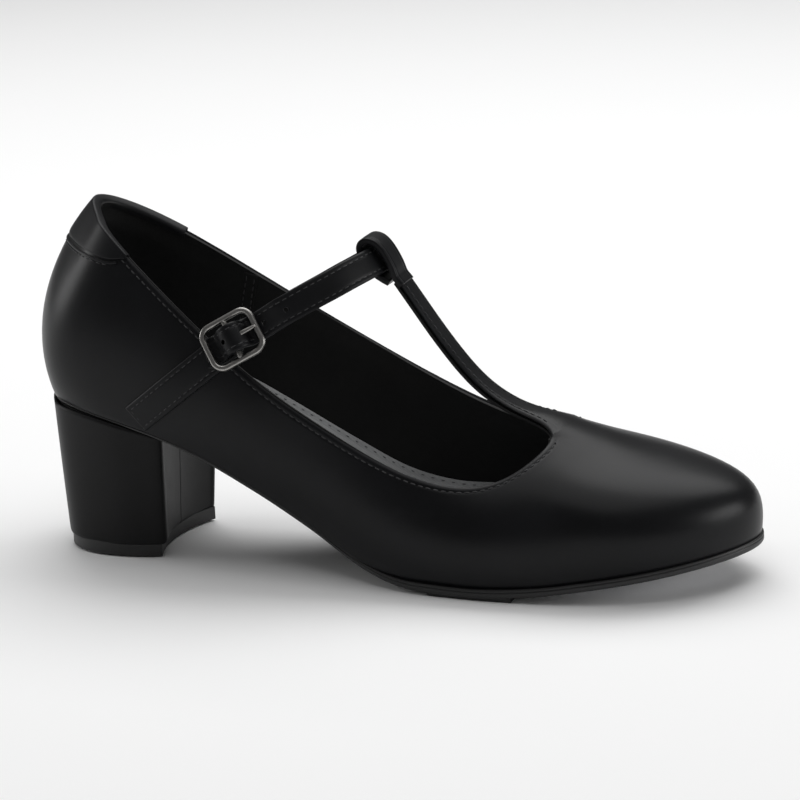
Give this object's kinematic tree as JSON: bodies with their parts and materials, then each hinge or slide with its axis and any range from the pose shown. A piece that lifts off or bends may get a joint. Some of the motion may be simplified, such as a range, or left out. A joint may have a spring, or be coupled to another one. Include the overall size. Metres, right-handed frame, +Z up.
{
  "type": "tap shoe",
  "caption": "Low-cut black leather tap shoe for the right foot with a block heel, T-strap with loop, buckled ankle strap and inset metal taps.",
  "frame": {"origin": "on the ground under the middle of the heel", "axes": "+X towards the toe, +Z up, -Y towards the outer side of the foot"},
  "size_m": [0.2407, 0.0801, 0.1166],
  "materials": {
    "upper_leather": "smooth semi-gloss black grain leather",
    "strap_leather": "smooth black strap leather, stitched near both edges",
    "lining_leather": "matt black grained lining",
    "sock_fabric": "light grey woven sock",
    "foam": "soft insole foam",
    "board": "pressed fibre board",
    "stiffener": "thermoplastic stiffener sheet",
    "cork": "granulated cork filler",
    "sole_rubber": "black resin rubber, satin edge",
    "heel_core": "moulded heel core",
    "heel_wrap": "satin black heel covering",
    "lift_rubber": "black top lift",
    "tap_alloy": "cast tap plate, lightly scuffed",
    "steel": "steel fixings and shank",
    "buckle_metal": "gunmetal plated buckle"
  },
  "bodies": {
    "shoe": {"vamp": "upper_leather", "quarter_outer": "upper_leather", "quarter_inner": "upper_leather", "collar_patch": "upper_leather", "t_strap": "upper_leather", "t_strap_loop": "upper_leather", "lasting_margin": "upper_leather", "vamp_lining": "lining_leather", "quarter_lining": "lining_leather", "t_strap_lining": "lining_leather", "collar_foam": "foam", "insole_foam": "foam", "heel_counter": "stiffener", "toe_puff": "stiffener", "insole_board": "board", "bottom_filler": "cork", "shank": "steel", "sock_lining": "sock_fabric", "outsole": "sole_rubber", "ball_pad": "sole_rubber", "heel_block": "heel_core", "heel_cover": "heel_wrap", "top_lift": "lift_rubber", "toe_tap": "tap_alloy", "heel_tap": "tap_alloy", "toe_tap_screw_1": "steel", "toe_tap_screw_2": "steel", "toe_tap_screw_3": "steel", "heel_tap_screw_1": "steel", "heel_tap_screw_2": "steel", "heel_tap_screw_3": "steel", "heel_screw": "steel", "heel_nail_1": "steel", "heel_nail_2": "steel", "heel_nail_3": "steel", "heel_nail_4": "steel", "ankle_strap_inner": "strap_leather", "buckle_tab": "strap_leather"},
    "strap_end": {"ankle_strap_end": "strap_leather"},
    "buckle": {"buckle_frame": "buckle_metal"},
    "prong": {"buckle_prong": "buckle_metal"}
  },
  "joints": [
    {"name": "strap_swing", "type": "hinge", "parent": "shoe", "child": "strap_end", "pos_m": [0.0914, -0.0057, 0.0998], "axis": [-0.5413, 0.0649, 0.8383], "range_deg": [0, 65], "deforming": ["ankle_strap_end"]},
    {"name": "buckle_tilt", "type": "hinge", "parent": "shoe", "child": "buckle", "pos_m": [0.054, -0.0356, 0.0807], "axis": [0.5265, -0.263, -0.8085], "range_deg": [0, 12]},
    {"name": "prong_tilt", "type": "hinge", "parent": "buckle", "child": "prong", "pos_m": [0.054, -0.0356, 0.0807], "axis": [0.5265, -0.263, -0.8085], "range_deg": [0, 70]}
  ],
  "couplings": [
    {"joint": "buckle_tilt", "follows": "strap_swing", "ratio": 0.18},
    {"joint": "prong_tilt", "follows": "strap_swing", "ratio": 1.07}
  ]
}
